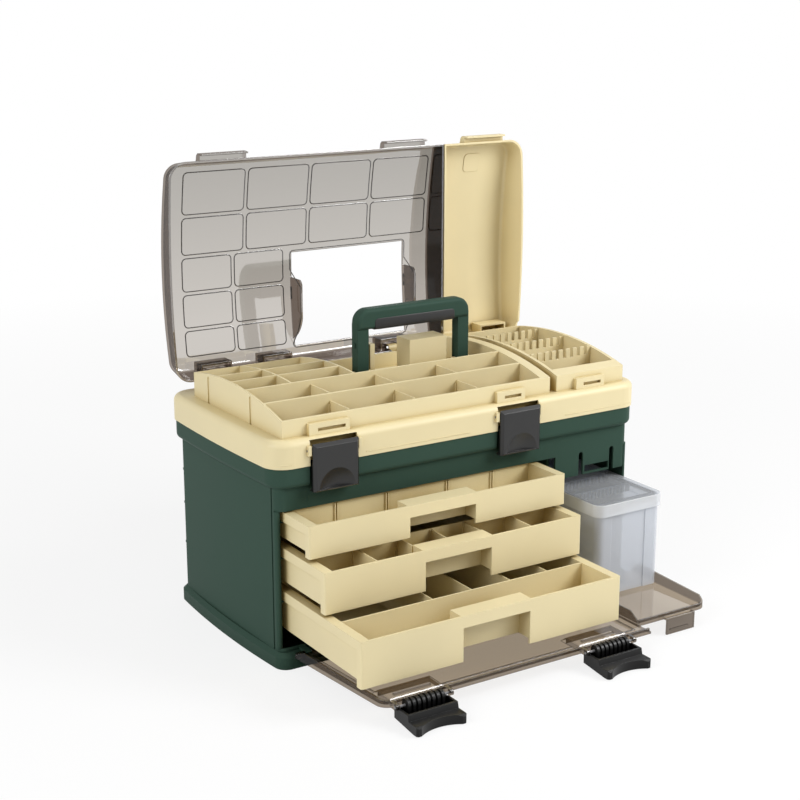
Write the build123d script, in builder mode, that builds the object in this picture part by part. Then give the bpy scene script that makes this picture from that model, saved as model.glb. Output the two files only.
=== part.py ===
from build123d import *
import math
import os

os.makedirs("parts", exist_ok=True)

# Three drawer tackle box, stored open as it is shown: lids up, doors down, drawers and lure box out.
# Millimetres, +X along the length, the front faces -Y, +Z up.
# The origin is the middle of the cabinet's underside, on the floor.

# Cabinet
body_front = -136.3
body_back = 135.0
body_corner_half = 268.8
body_mid_half = 273.0
body_height = 230.0
body_corner_radius = 12.0
wall = 3.0
floor_thickness = 3.0
foot_height = 20.0
foot_flare = 7.0
foot_chamfer = 5.0
foot_corner_radius = 16.0
collar_bottom = 228.0
collar_top = 253.5
collar_front = -144.5
collar_back = 146.0
collar_corner_half = 276.0
collar_mid_half = 280.5
collar_corner_radius = 26.0
collar_round = 7.0
deck_top = 203.5
deck_thickness = 3.0
sill_bottom = 199.3
drawer_sill_top = 24.0
stile_setback = 8.0
bead_radius = 4.0

# Drawer opening and lure box bay
opening_left = -262.0
opening_right = 119.5
bay_left = 145.4
bay_right = 265.5
apron_bottom = 167.8
apron_top_slot = 189.0
apron_slot_width = 7.5
apron_tongue_left = 192.0
apron_tongue_right = 237.0
apron_window_low = 170.5
apron_window_high = 180.0

# Drawers
drawer_width = 376.0
drawer_center = -71.4
drawer_depth = 254.0
drawer_wall = 2.5
drawer_floor = 2.5
rail_out = 4.0
rail_height = 12.5
rim_width = 12.0
front_thickness = 3.0
partition_offset = 62.0
partition_thickness = 2.0
pull_width = 97.0
pull_depth = 22.5
pull_lip = 15.0
runner_gap = 0.3
runner_thickness = 3.0
divider_thickness = 1.6
divider_gap = 0.15
rib_size = 1.6
drawer_specs = {
    "top": {"front": -193.6, "top": 197.4, "floor": 162.2, "apron": 156.9},
    "middle": {"front": -228.0, "top": 151.3, "floor": 106.4, "apron": 99.6},
    "bottom": {"front": -308.1, "top": 95.5, "floor": 44.5, "apron": 38.1},
}
middle_dividers_at = [75.0, 138.0, 188.0, 238.0, 301.0]
bottom_dividers_at = [140.0, 197.0, 255.0, 312.0]
top_slots_at = [72.0, 145.0, 235.0, 304.0]

# Main lid with its trays
skirt_front = -146.0
skirt_back = 147.6
skirt_corner_half = 278.0
skirt_mid_half = 282.5
skirt_corner_radius = 28.0
skirt_bottom = 253.8
ledge_top = 287.6
tray_half = 259.4
tray_front = -131.6
tray_back = 105.0
tray_floor_bottom = 256.0
tray_floor_top = 258.5
tray_front_top = 309.0
tray_mid_top = 328.0
tray_back_top = 319.0
tray_tops = (tray_front_top, tray_mid_top, tray_back_top)
tray_wall = 2.5
tray_main_right_inner = 122.0
tray_main_right = 136.5
comb_left = 147.5
row_walls_at = [-83.7, -36.2]
column_dividers_at = [-166.4, -72.4, 21.6]
rear_block_right = -101.5
rear_column_at = -193.6
rear_rows_at = [1.9, 40.4]

# Top lids, worked out closed and then turned up about their hinge
lid_hinge_y = 139.0
lid_hinge_z = 304.5
lid_rim_z = 288.3
lid_front = -143.5
lid_back = 143.5
lid_half = 280.0
lid_thickness = 2.5
lid_slant = 5.0
lid_front_top = 314.0
lid_mid_top = 332.5
lid_back_top = 322.0
lid_tops = (lid_front_top, lid_mid_top, lid_back_top)
smoke_right = 139.8
side_left = 141.6
lid_open_angle = 90.0
window_left = -81.0
window_right = 98.5
window_front = -6.5
window_back = 122.0
lid_pin_radius = 2.5
pin_clearance = 0.05

# Handle
handle_x = 8.7
handle_y = 3.0
handle_half = 87.0
handle_leg = 17.0
handle_depth = 14.0
handle_top = 399.0
handle_pivot_z = 312.0
handle_pin_radius = 3.0
grip_depth = 20.0
grip_height = 27.0
grip_insert_bottom = 371.0

# Lid latches
latch_centers = {"left": -197.0, "right": 76.0}
lid_latch_width = 63.0
lid_latch_top = 281.0
lid_latch_bottom = 222.0
lid_latch_front = -153.5
lid_latch_back = -149.0
lid_latch_axis_y = -146.0
lid_latch_axis_z = 273.0
latch_pin_radius = 1.6
latch_notch_gap = 1.0
scoop_radius = 24.5
scoop_depth = 5.0

# Doors, lying open on their hinges
door_hinge_y = -150.0
door_hinge_z = 18.8
door_rod_radius = 2.0
door_ears_at = {"main": [-240.0, -60.0, 110.0], "bay": [175.0, 245.0]}
door_back = -154.8
door_low = 18.6
door_thickness = 3.0
door_rim_top = 26.5
door_rim_thickness = 2.5
door_corner_radius = 16.0
main_door_left_rear = -260.0
main_door_left_front = -243.5
main_door_skirt_top = 31.0
bay_door_skirt_top = 35.7
door_split = 151.0
door_split_gap = 0.3
door_right = 269.8
main_door_edge = -330.0
bay_door_edge = -304.6
bay_snap_left = 193.0
bay_snap_right = 239.5
door_latch_centers = {"left": -195.4, "right": 77.4}
door_latch_half = 33.8
door_latch_axis_y = -338.5
door_latch_axis_z = 22.5
door_latch_tip = -377.0
door_latch_low = 0.8
door_latch_ring_radius = 6.8
door_latch_ring_count = 8
door_latch_barrel_half = 25.0
door_latch_side_gap = 0.5

# Lure box
lure_left = 153.0
lure_right = 265.1
lure_front = -219.0
lure_depth = 248.0
lure_bottom = 25.4
lure_top = 152.8
lure_rim = 17.0
lure_wall = 2.0
lure_radius = 14.0
lure_panel_left = 178.0
lure_panel_right = 235.0
lure_panel_depth = 1.2
lure_racks_at = [-205.0, -154.5, -108.0]
lure_rack_drop = 12.5
lure_tooth_pitch = 6.4
lure_tooth_count = 14

# Main lid hinge at the back
main_hinge_y = 152.8
main_hinge_z = 253.6
main_rod_radius = 2.0
knuckle_radius = 4.6
knuckle_length = 18.0
main_hinges_at = [-200.0, 0.0, 200.0]


def bowed_face(front, back, corner_half, mid_half, radius):
    """Plan outline with straight front and back and gently bowed ends."""
    middle = (front + back) / 2
    with BuildSketch() as outline:
        with BuildLine():
            Line((-corner_half, front), (corner_half, front))
            ThreePointArc((corner_half, front), (mid_half, middle), (corner_half, back))
            Line((corner_half, back), (-corner_half, back))
            ThreePointArc((-corner_half, back), (-mid_half, middle), (-corner_half, front))
        make_face()
        fillet(outline.vertices(), radius)
    return outline.sketch


def box_between(x0, x1, y0, y1, z0, z1, mode=Mode.ADD):
    """A box given by its two corners, added to or cut from the part being built."""
    with Locations(((x0 + x1) / 2, (y0 + y1) / 2, (z0 + z1) / 2)):
        Box(x1 - x0, y1 - y0, z1 - z0, mode=mode)


def rod_x(x0, x1, y, z, radius, mode=Mode.ADD):
    """A round bar along X."""
    with Locations(Location(((x0 + x1) / 2, y, z), (0, 90, 0))):
        Cylinder(radius, x1 - x0, mode=mode)


def save(part, label):
    part.label = label
    export_step(part, f"parts/{label}.step")


# Cabinet shell: flared foot, bowed body, rolled collar, open front
body_outline = bowed_face(body_front, body_back, body_corner_half, body_mid_half, body_corner_radius)
body_inside = bowed_face(
    body_front + wall, body_back - wall, body_corner_half - wall, body_mid_half - wall, body_corner_radius - wall
)
foot_outline = bowed_face(
    body_front - foot_flare - 2, body_back + foot_flare, body_corner_half + 4,
    body_mid_half + foot_flare, foot_corner_radius,
)
collar_outline = bowed_face(collar_front, collar_back, collar_corner_half, collar_mid_half, collar_corner_radius)
collar_inside = bowed_face(
    collar_front + wall, collar_back - wall, collar_corner_half - wall, collar_mid_half - wall,
    collar_corner_radius - wall,
)
partition_front = body_front + 14

with BuildPart() as cabinet_shell:
    with BuildSketch():
        add(foot_outline)
    extrude(amount=foot_height)
    chamfer(cabinet_shell.edges().group_by(Axis.Z)[-1], foot_chamfer)
    with BuildSketch():
        add(body_outline)
    extrude(amount=body_height)
    with BuildPart(mode=Mode.PRIVATE) as collar:
        with BuildSketch(Plane.XY.offset(collar_bottom)):
            add(collar_outline)
        extrude(amount=collar_top - collar_bottom)
        fillet(collar.edges().group_by(Axis.Z)[0], collar_round)
    add(collar.part)
    # the inside, below and above the deck
    with BuildSketch(Plane.XY.offset(floor_thickness)):
        add(body_inside)
    extrude(amount=deck_top - deck_thickness - floor_thickness, mode=Mode.SUBTRACT)
    with BuildSketch(Plane.XY.offset(deck_top)):
        add(body_inside)
    extrude(amount=body_height + collar_round - deck_top, mode=Mode.SUBTRACT)
    with BuildSketch(Plane.XY.offset(body_height + collar_round)):
        add(collar_inside)
    extrude(amount=collar_top - body_height - collar_round, mode=Mode.SUBTRACT)
    # drawer and bay openings through the front wall
    box_between(opening_left, bay_left, body_front - 1, body_front + wall + 1, drawer_sill_top, sill_bottom,
                Mode.SUBTRACT)
    box_between(bay_left - 1, bay_right, body_front - 1, body_front + wall + 1, drawer_sill_top, apron_bottom,
                Mode.SUBTRACT)
    # the tongue in the apron that the bay door snaps into
    for slot_x in (apron_tongue_left - apron_slot_width / 2, apron_tongue_right + apron_slot_width / 2):
        with BuildSketch(Plane.XZ.offset(-body_front)):
            with Locations((slot_x, (apron_bottom + apron_top_slot) / 2)):
                SlotOverall(2 * (apron_top_slot - apron_bottom), apron_slot_width, rotation=90)
        extrude(amount=wall + 1, both=True, mode=Mode.SUBTRACT)
    box_between(apron_tongue_left + 3, apron_tongue_right - 1, body_front - 1, body_front + wall + 1,
                apron_window_low, apron_window_high, Mode.SUBTRACT)
    # side walls stand back behind the frame and end in a round bead, with a groove behind it
    for side in (-1, 1):
        x_in = side * (body_corner_half - 7.5)
        x_out = side * (body_corner_half + 6)
        box_between(min(x_in, x_out), max(x_in, x_out), body_front - 1, body_front + stile_setback,
                    drawer_sill_top, sill_bottom, Mode.SUBTRACT)
        with Locations((side * (body_corner_half - 2), body_front + stile_setback, drawer_sill_top)):
            Cylinder(bead_radius, sill_bottom - drawer_sill_top, align=(Align.CENTER, Align.CENTER, Align.MIN))
        # the lure box passes beside the right bead
        box_between(lure_right - 6, bay_right, body_front - 1, body_front + stile_setback + bead_radius + 1,
                    drawer_sill_top, apron_bottom, Mode.SUBTRACT)
        groove_x = side * (body_corner_half + 1.3)
        box_between(groove_x - 1.5, groove_x + 1.5, body_front + 14, body_front + 16.5, foot_height, collar_bottom,
                    Mode.SUBTRACT)
    # two partition plates between the drawers and the bay, with a dark gap between them
    for plate_x in (opening_right, bay_left - wall):
        box_between(plate_x, plate_x + wall, partition_front, body_back - wall, floor_thickness,
                    deck_top - deck_thickness)
    # runner ledges under the drawers' side rails
    for spec in drawer_specs.values():
        runner_top = spec["top"] - rail_height - runner_gap
        rail_left = drawer_center - drawer_width / 2
        rail_right = drawer_center + drawer_width / 2
        box_between(-body_corner_half + 1.5, rail_left + rail_out - 0.9, body_front + 12, body_back - wall,
                    runner_top - runner_thickness, runner_top)
        box_between(rail_right - rail_out + 0.9, opening_right + 0.5, partition_front, body_back - wall,
                    runner_top - runner_thickness, runner_top)
    # ribs that carry the lure box
    for rib_x in (lure_left + 10, (lure_left + lure_right) / 2, lure_right - 10):
        box_between(rib_x - wall / 2, rib_x + wall / 2, body_front + wall, body_back - wall, floor_thickness,
                    lure_bottom - runner_gap)
    # recess behind each lid latch, with the catch rib
    for latch_x in latch_centers.values():
        half = lid_latch_width / 2 + latch_notch_gap
        box_between(latch_x - half, latch_x + half, collar_front - 8, body_front, sill_bottom, collar_top + 1,
                    Mode.SUBTRACT)
        box_between(latch_x - half, latch_x + half, body_front - 0.1, body_front + wall, sill_bottom, collar_top)
        box_between(latch_x - 20, latch_x + 20, body_front - 5.5, body_front + 0.1, 226.5, 230.5)
    # rod ears for the doors at the foot and hinge knuckles for the main lid at the back
    for ear_x in door_ears_at["main"] + door_ears_at["bay"]:
        with BuildSketch(Plane.YZ.offset(ear_x)):
            with Locations((door_hinge_y, door_hinge_z)):
                Circle(door_rod_radius + 2.2)
            with BuildLine():
                Polyline(
                    (door_hinge_y, door_hinge_z - door_rod_radius - 2.2),
                    (door_hinge_y, door_hinge_z + door_rod_radius + 2.2),
                    (body_front + 1, door_hinge_z + door_rod_radius + 2.2),
                    (body_front + 1, door_hinge_z - door_rod_radius - 2.2),
                    close=True,
                )
            make_face()
        extrude(amount=4, both=True)
    for hinge_x in main_hinges_at:
        for end in (-1, 1):
            start = hinge_x + end * (knuckle_length + 0.4)
            with BuildSketch(Plane.YZ.offset(start)):
                with Locations((main_hinge_y, main_hinge_z)):
                    Circle(knuckle_radius)
                with BuildLine():
                    Polyline(
                        (main_hinge_y + knuckle_radius, main_hinge_z),
                        (main_hinge_y, main_hinge_z - knuckle_radius - 14),
                        (body_back - 1, main_hinge_z - knuckle_radius - 14),
                        (collar_back - wall + 0.5, main_hinge_z - 2),
                        (main_hinge_y - knuckle_radius, main_hinge_z),
                        close=True,
                    )
                make_face()
            extrude(amount=end * knuckle_length * 0.5)
    rod_x(-300, 300, door_hinge_y, door_hinge_z, door_rod_radius + pin_clearance, Mode.SUBTRACT)
    rod_x(-300, 300, main_hinge_y, main_hinge_z, main_rod_radius + pin_clearance, Mode.SUBTRACT)
save(cabinet_shell.part, "cabinet_shell")

with BuildPart() as main_hinge_rods:
    for hinge_x in main_hinges_at:
        rod_x(hinge_x - 1.4 * knuckle_length, hinge_x + 1.4 * knuckle_length, main_hinge_y, main_hinge_z,
              main_rod_radius)
save(main_hinge_rods.part, "main_hinge_rods")

with BuildPart() as door_rods:
    rod_x(main_door_left_rear + 4, door_split - 4, door_hinge_y, door_hinge_z, door_rod_radius)
    rod_x(door_split + 4, door_right - 8, door_hinge_y, door_hinge_z, door_rod_radius)
save(door_rods.part, "door_rods")


# Drawers: hanging rails, a front row behind the pull pocket and a row behind the partition
drawer_left = drawer_center - drawer_width / 2
drawer_right = drawer_center + drawer_width / 2
pull_left = drawer_center - pull_width / 2
pull_right = drawer_center + pull_width / 2
front_return = 10.0
inner_left = drawer_left + rim_width
inner_right = drawer_right - rim_width


def slot_ribs(x, y, toward, z0, z1):
    """A pair of ribs standing on a wall, toward +Y or -Y, with room for one divider between them."""
    for side in (-1, 1):
        near = x + side * (divider_thickness / 2 + divider_gap)
        far = near + side * rib_size
        y_tip = y + toward * rib_size
        y_root = y - toward * 0.5
        box_between(min(near, far), max(near, far), min(y_tip, y_root), max(y_tip, y_root), z0, z1)


def row_start(x, spec):
    """Where the front row begins: behind the front panel, or behind the pull pocket."""
    if pull_left - drawer_wall < x < pull_right + drawer_wall:
        return spec["front"] + pull_depth + drawer_wall
    return spec["front"] + front_thickness


front_row_slots = {"top": top_slots_at, "middle": middle_dividers_at, "bottom": []}

for name, spec in drawer_specs.items():
    front = spec["front"]
    back = front + drawer_depth
    top = spec["top"]
    partition = front + partition_offset
    cavity_floor = spec["floor"] + drawer_floor
    with BuildPart() as drawer:
        box_between(drawer_left, drawer_right, front, front + front_return, spec["apron"], top)
        fillet(drawer.edges().filter_by(Axis.Z).group_by(Axis.Y)[0], 2.5)
        box_between(drawer_left, drawer_right, front + front_return - 1, back, top - rail_height, top)
        box_between(drawer_left + rail_out, drawer_right - rail_out, front + 4, back, spec["floor"], top)
        box_between(drawer_left + rail_out, drawer_right - rail_out, front + front_thickness, front + front_return + 1,
                    spec["apron"] - 1, spec["floor"], Mode.SUBTRACT)
        box_between(inner_left, inner_right, front + front_thickness, partition, cavity_floor, top + 1, Mode.SUBTRACT)
        box_between(inner_left, inner_right, partition + partition_thickness, back - drawer_wall, cavity_floor,
                    top + 1, Mode.SUBTRACT)
        # the side walls are hollow from below
        slot_width = rim_width - rail_out - 2 * drawer_wall
        for slot_left in (drawer_left + rail_out + drawer_wall, inner_right + drawer_wall):
            box_between(slot_left, slot_left + slot_width, front + front_thickness, back - drawer_wall,
                        spec["floor"] - 1, top - wall, Mode.SUBTRACT)
        # finger pull, open downwards behind a short lip
        box_between(pull_left - drawer_wall, pull_right + drawer_wall, front + 1, front + pull_depth + drawer_wall,
                    spec["floor"], top)
        box_between(pull_left, pull_right, front + front_thickness, front + pull_depth, spec["apron"] - 1,
                    top - drawer_wall, Mode.SUBTRACT)
        box_between(pull_left, pull_right, front - 1, front + front_thickness + 1, spec["apron"] - 1,
                    top - pull_lip, Mode.SUBTRACT)
        for at in front_row_slots[name]:
            slot_x = drawer_left + at
            slot_ribs(slot_x, row_start(slot_x, spec), 1, cavity_floor - 0.5, top - 1)
            slot_ribs(slot_x, partition, -1, cavity_floor - 0.5, top - 1)
        if name == "bottom":
            for at in bottom_dividers_at:
                slot_ribs(drawer_left + at, partition + partition_thickness, 1, cavity_floor - 0.5, top - 1)
                slot_ribs(drawer_left + at, back - drawer_wall, -1, cavity_floor - 0.5, top - 1)
    save(drawer.part, f"drawer_{name}")

divider_drop = 1.5
with BuildPart() as drawer_middle_dividers:
    spec = drawer_specs["middle"]
    for at in middle_dividers_at:
        plate_x = drawer_left + at
        box_between(plate_x - divider_thickness / 2, plate_x + divider_thickness / 2,
                    row_start(plate_x, spec) + divider_gap, spec["front"] + partition_offset - divider_gap,
                    spec["floor"] + drawer_floor, spec["top"] - divider_drop)
save(drawer_middle_dividers.part, "drawer_middle_dividers")

with BuildPart() as drawer_bottom_dividers:
    spec = drawer_specs["bottom"]
    for at in bottom_dividers_at:
        plate_x = drawer_left + at
        box_between(plate_x - divider_thickness / 2, plate_x + divider_thickness / 2,
                    spec["front"] + partition_offset + partition_thickness + divider_gap,
                    spec["front"] + drawer_depth - drawer_wall - divider_gap,
                    spec["floor"] + drawer_floor, spec["top"] - divider_drop)
save(drawer_bottom_dividers.part, "drawer_bottom_dividers")


# Main lid: skirt and ledge with the arched trays moulded into it
ledge_thickness = 2.6
bay_left_wall = rear_block_right
bay_front = row_walls_at[1] + tray_wall / 2
bay_rear_top = 307.7
post_bore = lid_pin_radius + pin_clearance
post_radius = 5.5
smoke_posts_at = [-213.5, -122.5, 63.5]
side_posts_at = [235.0]
post_half = 7.0
ear_gap = 0.7
handle_left_leg = (handle_x - handle_half, handle_x - handle_half + handle_leg)
handle_right_leg = (handle_x + handle_half - handle_leg, handle_x + handle_half)


def arched_block(x0, x1, front, back, tops, base):
    """A block along X whose top is one arc through the heights at front, middle and back."""
    with BuildPart() as block:
        with BuildSketch(Plane.YZ.offset(x0)):
            with BuildLine():
                Polyline((front, tops[0]), (front, base), (back, base), (back, tops[2]))
                ThreePointArc((back, tops[2]), ((front + back) / 2, tops[1]), (front, tops[0]))
            make_face()
        extrude(amount=x1 - x0)
    return block.part


def pin_post(x0, x1, y, z, radius, base):
    """A post that rises from a flat base and ends round about a pin along X."""
    with BuildPart() as post:
        rod_x(x0, x1, y, z, radius)
        box_between(x0, x1, y - radius, y + radius, base, z)
    return post.part


def lowered(tops, drop):
    return tuple(height - drop for height in tops)


def arch_height(y, front, back, tops):
    """Height at y of the arc through the heights at front, middle and back."""
    points = ((front, tops[0]), ((front + back) / 2, tops[1]), (back, tops[2]))
    (y0, z0), (y1, z1), (y2, z2) = points
    span = 2 * (y0 * (z1 - z2) + y1 * (z2 - z0) + y2 * (z0 - z1))
    squares = [py ** 2 + pz ** 2 for py, pz in points]
    center_y = (squares[0] * (z1 - z2) + squares[1] * (z2 - z0) + squares[2] * (z0 - z1)) / span
    center_z = (squares[0] * (y2 - y1) + squares[1] * (y0 - y2) + squares[2] * (y1 - y0)) / span
    radius = math.dist((y1, z1), (center_y, center_z))
    return center_z + math.sqrt(radius ** 2 - (y - center_y) ** 2)


skirt_outline = bowed_face(skirt_front, skirt_back, skirt_corner_half, skirt_mid_half, skirt_corner_radius)
skirt_inside = bowed_face(
    skirt_front + wall, skirt_back - wall, skirt_corner_half - wall, skirt_mid_half - wall, skirt_corner_radius - wall
)
with BuildPart() as skirt_core:
    with BuildSketch(Plane.XY.offset(skirt_bottom - 1)):
        add(skirt_inside)
    extrude(amount=ledge_top - ledge_thickness - skirt_bottom + 1)
    fillet(skirt_core.edges().group_by(Axis.Z)[-1], 6.0)

main_tray_block = arched_block(-tray_half, tray_main_right, tray_front, tray_back, tray_tops, tray_floor_bottom)
comb_block = arched_block(comb_left, tray_half, tray_front, tray_back, tray_tops, tray_floor_bottom)
under_rim = arched_block(tray_main_right_inner + tray_wall, tray_main_right - tray_wall, tray_front + tray_wall,
                         tray_back - tray_wall, lowered(tray_tops, wall), skirt_bottom - 5)
comb_front = -115.0
comb_right = 254.4
bay_posts = []
for leg_left, leg_right in (handle_left_leg, handle_right_leg):
    bay_posts.append(pin_post(leg_left - ear_gap - 6, leg_left - ear_gap, handle_y, handle_pivot_z, 5.0, ledge_top - 1))
    bay_posts.append(pin_post(leg_right + ear_gap, leg_right + ear_gap + 4.5, handle_y, handle_pivot_z, 5.0,
                              ledge_top - 1))
lid_posts = []
for post_x in smoke_posts_at + side_posts_at:
    lid_posts.append(pin_post(post_x - post_half, post_x + post_half, lid_hinge_y, lid_hinge_z, post_radius,
                              ledge_top - 1))

with BuildPart() as tray_lid:
    with BuildSketch(Plane.XY.offset(skirt_bottom)):
        add(skirt_outline)
    extrude(amount=ledge_top - skirt_bottom)
    fillet(tray_lid.edges().group_by(Axis.Z)[-1], 8.5)
    add(skirt_core.part, mode=Mode.SUBTRACT)
    add(main_tray_block)
    add(comb_block)
    # two front rows, left open from end to end for the loose dividers
    row_starts = [tray_front + tray_wall] + [y + tray_wall / 2 for y in row_walls_at[:-1]]
    row_ends = [y - tray_wall / 2 for y in row_walls_at]
    for row_y0, row_y1 in zip(row_starts, row_ends):
        box_between(-tray_half + tray_wall, tray_main_right_inner, row_y0, row_y1, tray_floor_top, 340, Mode.SUBTRACT)
    # fixed cells at the rear left
    rear_edges = [bay_front] + rear_rows_at + [tray_back - tray_wall]
    for row in range(3):
        cell_y0 = rear_edges[row] + (0 if row == 0 else tray_wall / 2)
        cell_y1 = rear_edges[row + 1] - (0 if row == 2 else tray_wall / 2)
        box_between(-tray_half + tray_wall, rear_column_at - tray_wall / 2, cell_y0, cell_y1, tray_floor_top, 340,
                    Mode.SUBTRACT)
        box_between(rear_column_at + tray_wall / 2, rear_block_right - tray_wall, cell_y0, cell_y1, tray_floor_top,
                    340, Mode.SUBTRACT)
    # bay for the handle, with its floor at the ledge and a low rear wall
    box_between(bay_left_wall, tray_main_right_inner, bay_front, tray_back - tray_wall, ledge_top, 340, Mode.SUBTRACT)
    box_between(bay_left_wall, tray_main_right_inner, tray_back - tray_wall - 1, tray_back + 1, bay_rear_top, 340,
                Mode.SUBTRACT)
    box_between(bay_left_wall + tray_wall, tray_main_right_inner - tray_wall, bay_front + tray_wall,
                tray_back - 2 * tray_wall, skirt_bottom - 1, ledge_top - ledge_thickness, Mode.SUBTRACT)
    add(under_rim, mode=Mode.SUBTRACT)
    # comb compartment
    box_between(comb_left + 5, comb_right, comb_front, tray_back - 12, tray_floor_top, 340, Mode.SUBTRACT)
    # post and block that stand up in the handle bay
    box_between(-55, -48, handle_y, handle_y + 32, ledge_top - 1, 350)
    box_between(6.5, 65, handle_y, handle_y + 32, ledge_top - 1, 348)
    for post in bay_posts + lid_posts:
        add(post)
    # hoods that take the tabs of the top lids, and matching slots
    for hood_left, hood_right in ((-226, -170), (48, 92), (176, 223)):
        box_between(hood_left, hood_right, tray_front - 6, tray_front + 1, ledge_top - 1, 302)
        box_between(hood_left + 12, hood_right - 6, tray_front - 8, tray_front - 2, 292, 296, Mode.SUBTRACT)
    # upright round-topped slots in the left wall
    for slot_y in (-52.5, 62.5):
        with BuildSketch(Plane.YZ.offset(-tray_half)):
            with Locations((slot_y, 300)):
                SlotOverall(44, 5, rotation=90)
        extrude(amount=1.2, both=True, mode=Mode.SUBTRACT)
    # ribs for the loose dividers
    for divider_x in column_dividers_at:
        for row_y0, row_y1 in zip(row_starts, row_ends):
            slot_ribs(divider_x, row_y0, 1, tray_floor_top - 0.5, tray_front_top - 2)
            slot_ribs(divider_x, row_y1, -1, tray_floor_top - 0.5, tray_front_top - 2)
    # notches for the latches, with cheeks for their pins
    for latch_x in latch_centers.values():
        half = lid_latch_width / 2 + latch_notch_gap
        box_between(latch_x - half, latch_x + half, skirt_front - 1, tray_front, skirt_bottom - 1,
                    ledge_top - ledge_thickness, Mode.SUBTRACT)
        for side in (-1, 1):
            cheek_near = latch_x + side * half
            cheek_far = cheek_near + side * 4.5
            box_between(min(cheek_near, cheek_far), max(cheek_near, cheek_far), skirt_front - 3.5, skirt_front + 7,
                        lid_latch_axis_z - 6, lid_latch_axis_z + 6)
        rod_x(latch_x - half - 5, latch_x + half + 5, lid_latch_axis_y, lid_latch_axis_z,
              latch_pin_radius + pin_clearance, Mode.SUBTRACT)
    # knuckles at the back between the cabinet's knuckles
    for hinge_x in main_hinges_at:
        with BuildSketch(Plane.YZ.offset(hinge_x - knuckle_length)):
            with Locations((main_hinge_y, main_hinge_z)):
                Circle(knuckle_radius)
            with BuildLine():
                Polyline(
                    (main_hinge_y + knuckle_radius, main_hinge_z),
                    (main_hinge_y - knuckle_radius + 1, main_hinge_z),
                    (skirt_back - 1, skirt_bottom + 3),
                    (skirt_back - 1, skirt_bottom + 16),
                    close=True,
                )
            make_face()
        extrude(amount=2 * knuckle_length)
    rod_x(-240, 240, main_hinge_y, main_hinge_z, main_rod_radius + pin_clearance, Mode.SUBTRACT)
    rod_x(-240, 245, lid_hinge_y, lid_hinge_z, post_bore, Mode.SUBTRACT)
    rod_x(handle_left_leg[0] - 5, handle_left_leg[1] + 6, handle_y, handle_pivot_z, handle_pin_radius, Mode.SUBTRACT)
    rod_x(handle_right_leg[0] - 6, handle_right_leg[1] + 5, handle_y, handle_pivot_z, handle_pin_radius,
          Mode.SUBTRACT)
save(tray_lid.part, "tray_lid")

with BuildPart() as tray_dividers:
    for divider_x in column_dividers_at:
        for row_y0, row_y1 in zip(row_starts, row_ends):
            box_between(divider_x - divider_thickness / 2, divider_x + divider_thickness / 2, row_y0 + divider_gap,
                        row_y1 - divider_gap, tray_floor_top, tray_front_top + (2 if row_y0 < -100 else 12))
save(tray_dividers.part, "tray_dividers")

comb_racks_at = [-68.0, -8.5, 49.0]
comb_highest = 325.5
comb_lid_gap = 0.6
comb_tooth_count = 8
with BuildPart() as comb_racks:
    rack_left = comb_left + 5 + divider_gap
    rack_right = comb_right - divider_gap
    tooth_pitch = (rack_right - rack_left) / (comb_tooth_count + 0.5)
    for rack_y in comb_racks_at:
        lid_underside = arch_height(rack_y, lid_front, lid_back, lowered(lid_tops, lid_thickness))
        comb_top = min(comb_highest, lid_underside - comb_lid_gap)
        box_between(rack_left, rack_right, rack_y - 1.2, rack_y + 1.2, tray_floor_top, comb_top)
        for tooth in range(comb_tooth_count):
            gap_x = rack_left + (tooth + 0.75) * tooth_pitch
            box_between(gap_x - tooth_pitch * 0.22, gap_x + tooth_pitch * 0.22, rack_y - 2, rack_y + 2,
                        comb_top - 12, comb_top + 1, Mode.SUBTRACT)
save(comb_racks.part, "comb_racks")

with BuildPart() as handle_pins:
    rod_x(handle_left_leg[0] - 5, handle_left_leg[1] + 5, handle_y, handle_pivot_z, handle_pin_radius)
    rod_x(handle_right_leg[0] - 5, handle_right_leg[1] + 5, handle_y, handle_pivot_z, handle_pin_radius)
save(handle_pins.part, "handle_pins")

with BuildPart() as lid_latch_pins:
    for latch_x in latch_centers.values():
        pin_half = lid_latch_width / 2 + latch_notch_gap + 4.4
        rod_x(latch_x - pin_half, latch_x + pin_half, lid_latch_axis_y, lid_latch_axis_z, latch_pin_radius)
save(lid_latch_pins.part, "lid_latch_pins")


# Top lids: one arched, slant-sided form, split between the smoke lid and the side lid
lid_taper = 9.5
lid_corner_radius = 24.0
lid_rear_rim = 290.5
post_clearance = 0.7
ear_thickness = 3.0
housing_half = 22.5
housing_front = 123.5
housing_bottom = 297.0
tab_half = 33.0
pad_height = 0.8


def lid_form(inset):
    """The lids' outside form, or with an inset their inside, closed and over the full length."""
    with BuildPart() as form:
        with BuildSketch(Plane.XY.offset(lid_rim_z - inset)):
            add(bowed_face(lid_front + inset, lid_back - inset, lid_half - 5 - inset, lid_half - inset,
                           lid_corner_radius - inset))
        extrude(amount=55, taper=lid_taper)
        add(arched_block(-300, 300, lid_front, lid_back, lowered(lid_tops, inset), 250), mode=Mode.INTERSECT)
        fillet(form.faces().sort_by(Axis.Z)[-1].edges(), 7.0 - inset)
    return form.part


def lid_tab(center_x):
    """Tab at a lid's front edge, bent down over the ledge."""
    with BuildPart() as tab:
        with BuildSketch(Plane.YZ.offset(center_x - tab_half)):
            with BuildLine():
                Polyline((-137.7, 304), (-149, 301), (-152, 297.5), (-152, 284.5), (-149.6, 284.5), (-149.6, 291),
                         (-140, 291), close=True)
            make_face()
        extrude(amount=2 * tab_half)
        fillet(tab.edges().filter_by(Axis.Y).group_by(Axis.Z)[0], 1.0)
    return tab.part


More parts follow.
